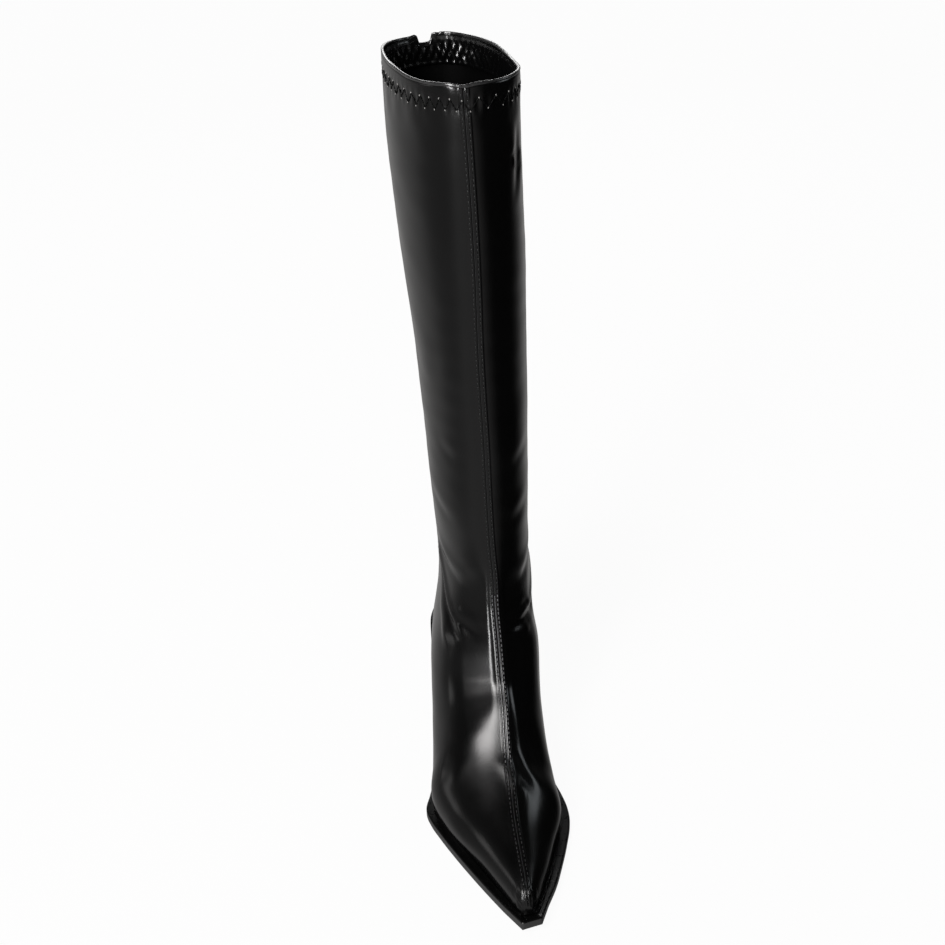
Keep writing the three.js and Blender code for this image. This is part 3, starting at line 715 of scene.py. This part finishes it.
TAPE_DROP = 17.2
TAPE_HEIGHT = 16.4
TAPE_ROWS = 30


def make_elastic():
    """The turned-in facing with its gathered elastic: puckers between the rim and the facing's lower edge."""
    P, A = upper_grid(60, columns(300, crest=False), grow=-WALL - 0.35, start=len(ROWS) - 1.6)
    v = np.linspace(0, 1, TAPE_ROWS)[:, None]
    z = P[-1, :, 2] - TAPE_DROP + v * TAPE_HEIGHT
    R = np.zeros((TAPE_ROWS, P.shape[1], 3))
    for j in range(P.shape[1]):
        R[:, j] = take(z[:, j], P[:, j, 2], P[:, j])
    R[:, :, 2] = z
    N = grid_normals(R)
    arc = A[-1][None]
    deep, lift, _ = notch_shape(R)
    back = smooth(60, 5, R[:, :, 1])
    slant = -6.0 * (v - 0.4)
    wave = (0.9 * np.sin((arc + slant) * 2 * np.pi / 5.6 + 1.9 * np.sin(arc / 11.0))
            + 0.45 * np.sin((arc - 1.2 * slant) * 2 * np.pi / 4.9 + 1.4 * np.sin(arc / 6.3) + 1.0)
            + 0.45 * np.sin((arc + slant) * 2 * np.pi / 9.7))
    bright = hump(R[:, :, 0], SHAFT[-1][7] + NOTCH_OFFSET + 16, 12.0) * back
    amount = (0.16 + 0.36 * back + 0.60 * bright) * hump(v, 0.42, 0.30)
    edge = 0.35 * hump(v, 0.06, 0.06) - 0.45 * smooth(0.85, 1.0, v)
    R = R - N * (0.55 + amount * (wave + 0.4) + edge)[..., None]
    R[:, :, 2] += (lift - deep) * smooth(0.55, 1.0, v)
    faces = grid_faces(*R.shape[:2], flip=True)
    add_mesh("elastic_gathers", to_frame(R).reshape(-1, 3), faces, MAT["elastic"],
             replaces=("collar_elastic",))


make_lining()
make_elastic()
make_rim()


# Stitches
def capsule(centre, direction, normal, length, width, height):
    """A small padded stitch as a rounded bar of 6 by 4 sides."""
    direction = direction / np.linalg.norm(direction)
    side = np.cross(direction, normal)
    side /= max(np.linalg.norm(side), 1e-9)
    out = []
    for t, s in ((-0.5, 0.25), (-0.32, 0.9), (0.32, 0.9), (0.5, 0.25)):
        for a in range(6):
            ang = 2 * np.pi * a / 6
            across = side * width / 2 * s * math.cos(ang)
            out.append(centre + direction * length * t + across + normal * height / 2 * s * math.sin(ang))
    faces = []
    for i in range(3):
        for a in range(6):
            b = (a + 1) % 6
            faces.append([i * 6 + a, i * 6 + b, (i + 1) * 6 + b, (i + 1) * 6 + a])
    faces += [[0, 1, 2, 3], [3, 4, 5, 0], [18, 19, 20, 21], [21, 22, 23, 18]]
    return np.array(out), np.array(faces)


def on_skin(i, arc):
    """A point of the outer skin and its normal, by row number and signed arc distance."""
    i = float(np.clip(i, 0, len(OUT) - 1.001))
    k = int(i)
    t = i - k

    def between(grid):
        return (1 - t) * take(arc, ARC[k], grid[k]) + t * take(arc, ARC[k + 1], grid[k + 1])

    n = between(NRM)
    return between(OUT), n / np.linalg.norm(n)


class Threads:
    """Collects many small stitches into one mesh."""

    def __init__(self):
        self.verts, self.faces, self.count = [], [], 0

    def add(self, centre, direction, normal, length, width, height):
        v, f = capsule(centre, direction, normal, length, width, height)
        self.verts.append(v)
        self.faces.append(f + self.count)
        self.count += len(v)

    def finish(self, name, key):
        add_mesh(name, to_frame(np.vstack(self.verts)), np.vstack(self.faces), MAT[key])


STITCH_PITCH = 3.0


def painted_highlight_zone(p):
    """True where the instep's light catches the threads; there the stitches and the join line get a lighter
    thread, a painted highlight.
    """
    return (p[..., 2] > 50) & (p[..., 2] < 128) & (p[..., 1] < 178)


def sew_seam(seam, instep):
    """Two rows of stitches along the front seam."""
    for side in (-1, 1):
        line = []
        for i in np.arange(0, len(OUT) - 1, 0.5):
            narrow = min(1.0, abs(ARC[int(i), 0]) / FULL_SEAM_ARC)
            line.append(on_skin(i, side * STITCH_ROW * max(narrow, 0.35)))
        pts = np.array([p for p, n in line])
        normals = np.array([n for p, n in line])
        s = lengths(pts)
        rng = np.random.RandomState(4 + side)
        for w in np.arange(8.0, s[-1] - STITCH_PITCH, STITCH_PITCH):
            w = w + 0.12 * rng.normal()
            c, ahead, behind = [take(w + d, s, pts) for d in (0, 1, -1)]
            n = take(w, s, normals)
            # stitches in the lit zone get the lighter thread, a painted highlight
            (instep if painted_highlight_zone(c) else seam).add(c + n * 0.15, ahead - behind, n, 1.9, 0.70, 0.62)


def make_join():
    """The fine join line in the middle of the seam."""
    line = [on_skin(i, 0.0) for i in np.arange(2, len(OUT) - 1, 1.0)]
    pts = np.array([p + n * 0.12 for p, n in line])
    # the lit stretch of the join line gets the lighter thread, a painted highlight
    lit = painted_highlight_zone(pts)
    high = pts[:, 2] >= 128
    parts = (("seam_join_painted_highlight", lit, "instep"), ("seam_join_shaft", ~lit & high, "seam"),
             ("seam_join_toe", ~lit & ~high, "seam"))
    for name, part, key in parts:
        v, f = tube(pts[part], 0.24, 6)
        add_mesh(name, to_frame(v), f, MAT[key])


def sew_zigzag(zig, painted_glint_dots):
    """The zigzag round the collar, closer on the lateral side of the seam than on the medial, with a light
    dot at each tip that is a painted glint.
    """
    top_rows = [r for r in range(len(OUT)) if OUT[r, :, 2].min() > COLLAR_TOP - 40]
    lo_arc, hi_arc = ARC[top_rows[0], 0], ARC[top_rows[0], -1]

    def on_collar(arc, drop):
        col, normals = [np.array([take(arc, ARC[r], grid[r]) for r in top_rows]) for grid in (OUT, NRM)]
        z = col[-1, 2] - drop
        n = take(z, col[:, 2], normals)
        return take(z, col[:, 2], col), n / np.linalg.norm(n)

    lateral, medial = [-1.4], [2.6]
    while lateral[-1] > lo_arc + 3:
        lateral.append(lateral[-1] - 3.1 - 1.0 * float(smooth(8, 40, -lateral[-1])))
    while medial[-1] < hi_arc - 4:
        medial.append(medial[-1] + 5.0 - 1.3 * float(smooth(14, 34, medial[-1])))
    tips = lateral[::-1] + medial
    for k in range(1, len(tips)):
        low = 1 if k % 2 else -1
        start = np.array([tips[k - 1], ZIGZAG_DROP + low * ZIGZAG_HALF])
        stop = np.array([tips[k], ZIGZAG_DROP - low * ZIGZAG_HALF])
        for part in range(3):
            share = (part + 0.5) / 3
            p0, _ = on_collar(*(start + (stop - start) * (share - 0.16)))
            p1, n1 = on_collar(*(start + (stop - start) * (share + 0.16)))
            zig.add((p0 + p1) / 2 + n1 * 0.16, p1 - p0, n1, np.linalg.norm(p1 - p0) * 0.95, 0.85, 0.6)
        p, n = on_collar(*stop)
        # a light dot at each tip: a painted glint
        painted_glint_dots.add(p + n * 0.12, np.array([0, 0, 1.0]), n, 0.95, 0.7, 0.6)


def make_stitches():
    seam, instep, zig, painted_glint_dots = Threads(), Threads(), Threads(), Threads()
    sew_seam(seam, instep)
    make_join()
    sew_zigzag(zig, painted_glint_dots)
    seam.finish("seam_stitches", "seam")
    instep.finish("instep_stitches_painted_highlight", "instep")
    painted_glint_dots.finish("zigzag_ends_painted_glint", "ends")
    zig.finish("zigzag_stitches", "zigzag")


make_stitches()


# Outsole, rand, heel and lift
def run(a, b, n):
    """Points from a up to, but not at, b."""
    return [a + (b - a) * k / n for k in range(n)]


SPAN_POINTS = 14


def edge_loop():
    """The outsole's outline as a closed loop, lateral heel to tip and back along the medial side."""
    lat, med = outline_sides(SPAN_POINTS)
    tip_l = np.array([-TIP["lateral"] * BALL_WIDTH, TIP["lateral_along"] * LAST_LENGTH])
    tip_m = np.array([TIP["medial"] * BALL_WIDTH, TIP["medial_along"] * LAST_LENGTH])
    L = [np.array([-p[1], p[0]]) for p in lat]
    M = [np.array([p[1], p[0]]) for p in med]
    loop = L[:-1] + run(L[-1], tip_l, 10) + run(tip_l, tip_m, 8) + run(tip_m, M[-1], 10) + M[::-1][:-1]
    return np.array(loop)


def loop_normals(loop):
    d = np.roll(loop, -1, 0) - np.roll(loop, 1, 0)
    n = np.stack([d[:, 1], -d[:, 0]], -1)
    n /= np.maximum(np.linalg.norm(n, axis=1, keepdims=True), 1e-9)
    centre = loop.mean(0)
    if ((loop - centre) * n).sum(1).mean() < 0:
        n = -n
    return n


def make_outsole():
    loop = edge_loop()
    n = loop_normals(loop)
    count = len(loop)

    def ring(inset, drop):
        p = loop - n * inset
        return np.stack([p[:, 0], p[:, 1], sole_top(loop[:, 1]) - drop], -1)

    T = SOLE_THICKNESS
    # inset and drop of each ring, from under the sole round its side to the ledge
    under = [(3.5, T), (1.0, T), (0.55, T - 0.12), (0.25, T - 0.45), (0.06, T - 1.0), (0.0, T - 1.6)]
    side = [(0.0, 3.3), (0.0, 0.9), (0.02, 0.62), (0.12, 0.34), (0.32, 0.12), (0.62, 0.0), (1.4, 0.0),
            (3.0, 0.0)]
    rings = np.array([ring(i, d) for i, d in under + side])
    turn = 8
    side_v = to_frame(rings[:turn + 1]).reshape(-1, 3)
    side_f = grid_faces(turn + 1, count, wrap=True)
    add_mesh("outsole_side", side_v, side_f, MAT["side"], replaces=("outsole",))
    top_v = to_frame(rings[turn:]).reshape(-1, 3)
    add_mesh("outsole_ledge", top_v, grid_faces(len(rings) - turn, count, wrap=True), MAT["ledge"])
    make_plate("outsole_top", 2.9, 0.02, "ledge", False)
    make_plate("outsole_under", 3.4, T, "side", True)


def make_plate(name, inset, drop, key, flip):
    """A plate across the sole, `inset` from its outline and `drop` below its top, out to the snip."""
    lat, med = outline_sides(SPAN_POINTS)
    lat, med = [np.vstack([line, [TIP[side + "_along"] * LAST_LENGTH - 2.2, TIP[side] * BALL_WIDTH]])
                for line, side in ((lat, "lateral"), (med, "medial"))]
    pts = []
    for left, right in zip(lat, med):
        a, b = np.array([-left[1], left[0]]), np.array([right[1], right[0]])
        t = min(0.48, inset / max(np.linalg.norm(b - a), 1e-6))
        for k in range(9):
            q = a + (b - a) * (t + (1 - 2 * t) * k / 8)
            pts.append([q[0], q[1], float(sole_top(q[1])) - drop])
    add_mesh(name, to_frame(np.array(pts)), grid_faces(len(lat), 9, flip=flip), MAT[key])


make_outsole()


def finish_cad(name, mat):
    """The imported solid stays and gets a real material."""
    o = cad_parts[name]
    o.data.materials.clear()
    o.data.materials.append(mat)


for cad, key in (("rand", "rand"), ("heel", "heel"), ("heel_lift", "lift"), ("insole", "insole")):
    finish_cad(cad, MAT[key])


# Stage and light
BACK_WALL_AT = 2.2
COVE_RADIUS = 1.2


def make_stage():
    """A pale floor that turns up into a wall; the leather doesn't mirror it, as the world gives its glow."""
    mat = bpy.data.materials.new("floor")
    mat.use_nodes = True
    b = mat.node_tree.nodes["Principled BSDF"]
    b.inputs["Base Color"].default_value = (0.03, 0.03, 0.03, 1)
    b.inputs["Roughness"].default_value = 0.9
    b.inputs["Specular IOR Level"].default_value = 0.0
    b.inputs["Emission Color"].default_value = (1, 1, 1, 1)
    b.inputs["Emission Strength"].default_value = 0.95
    turn = np.linspace(0, np.pi / 2, 14)[1:]
    ys = np.r_[np.linspace(-6, BACK_WALL_AT, 10), BACK_WALL_AT + COVE_RADIUS * np.sin(turn)]
    zs = np.r_[np.zeros(10), COVE_RADIUS * (1 - np.cos(turn))]
    ys = np.r_[ys, ys[-1]]
    zs = np.r_[zs, 3.0]
    v = []
    for y, z in zip(ys, zs):
        v += [(-8, y, z), (8, y, z)]
    f = [[2 * i, 2 * i + 1, 2 * i + 3, 2 * i + 2] for i in range(len(ys) - 1)]
    floor = add_mesh("floor", v, f, mat, stage=True)
    floor.visible_glossy = False


def area(name, at, look, size, power, colour=(1, 1, 1)):
    data = bpy.data.lights.new(name, "AREA")
    data.shape = "RECTANGLE"
    data.size, data.size_y = size
    data.energy = power
    data.color = colour
    o = bpy.data.objects.new(name, data)
    bpy.context.scene.collection.objects.link(o)
    o.location = at
    o.rotation_mode = "QUATERNION"
    o.rotation_quaternion = (Vector(look) - Vector(at)).to_track_quat("-Z", "Y")


def aimed(name, toward, far, size, glow, colour=(1, 1, 1), centre=(0, -0.02, 0.08)):
    """A softbox seen from `centre` in direction `toward`, `far` metres off, of luminance `glow`."""
    d = Vector(toward).normalized() * far
    at = Vector(centre) + d
    power = glow * size[0] * size[1] * math.pi
    area(name, tuple(at), centre, size, power, colour)


# What the leather mirrors, by direction: (toward, cosine where it starts, cosine where it is full, amount).
# The pale floor's glow is kept in these shares: by height, by the pair's other boot that stood on the right
# in the photograph, and by a darker patch on the left. There the amount is the least share.
FLOOR_SHARES = [((0, 0, 1), 0.85, -0.18, 0.0), ((0.985, -0.17, 0), 0.82, 0.30, 0.0),
                ((-0.966, -0.26, 0), 0.92, 0.66, 0.55)]
# soft glows on the left: high up, where the instep's flank answers it, and low beside the ankle
GLOWS = [((-0.326, -0.338, 0.883), 0.966, 0.9994, 15.5), ((-0.957, 0.134, 0.259), 0.985, 0.9994, 1.1)]
FLOOR_GLOW = 0.38
LEAST_GLOW = 0.006


def make_world():
    world = bpy.data.worlds.new("world")
    bpy.context.scene.world = world
    world.use_nodes = True
    tree = world.node_tree
    bg = tree.nodes["Background"]
    bg.inputs["Color"].default_value = (1.0, 0.985, 0.975, 1)
    coord = node(tree, "ShaderNodeTexCoord")

    def toward_ramp(toward, dark, full, limits):
        along = node(tree, "ShaderNodeVectorMath", {1: toward}, operation="DOT_PRODUCT")
        tree.links.new(coord.outputs["Generated"], along.inputs[0])
        edges = {"From Min": dark, "From Max": full}
        ramp = node(tree, "ShaderNodeMapRange", {**edges, **limits}, interpolation_type="SMOOTHSTEP")
        tree.links.new(along.outputs["Value"], ramp.inputs["Value"])
        return ramp

    def combine(operation, a, b):
        both = node(tree, "ShaderNodeMath", operation=operation)
        tree.links.new(a.outputs[0], both.inputs[0])
        tree.links.new(b.outputs[0], both.inputs[1])
        return both

    shares = [toward_ramp(to, dark, full, {"To Min": least}) for to, dark, full, least in FLOOR_SHARES]
    kept = combine("MULTIPLY", combine("MULTIPLY", shares[0], shares[1]), shares[2])
    total = node(tree, "ShaderNodeMath", {1: FLOOR_GLOW, 2: LEAST_GLOW}, operation="MULTIPLY_ADD")
    tree.links.new(kept.outputs[0], total.inputs[0])
    for to, dark, full, glow in GLOWS:
        total = combine("ADD", total, toward_ramp(to, dark, full, {"To Max": glow}))
    tree.links.new(total.outputs[0], bg.inputs["Strength"])


def make_lights():
    """Softboxes: two narrow ones for the instep's bright strip, a faint one on the right and one behind."""
    aimed("mid_left", (-0.483, -0.500, 0.719), 1.6, (0.22, 0.56), 22.0, (1.0, 0.99, 0.98))
    aimed("strip_left", (-0.529, -0.784, 0.326), 2.6, (0.36, 1.8), 21.0)
    aimed("high_right", (0.80, 0.05, 0.60), 1.3, (0.36, 0.36), 2.2, (0.90, 0.96, 1.0))
    aimed("back_low", (0.05, 0.95, 0.31), 1.5, (1.2, 0.22), 6.0, (1.0, 1.0, 1.0), (0, 0.1, 0.45))


make_stage()
make_world()
make_lights()
bpy.context.scene.view_settings.view_transform = "Standard"
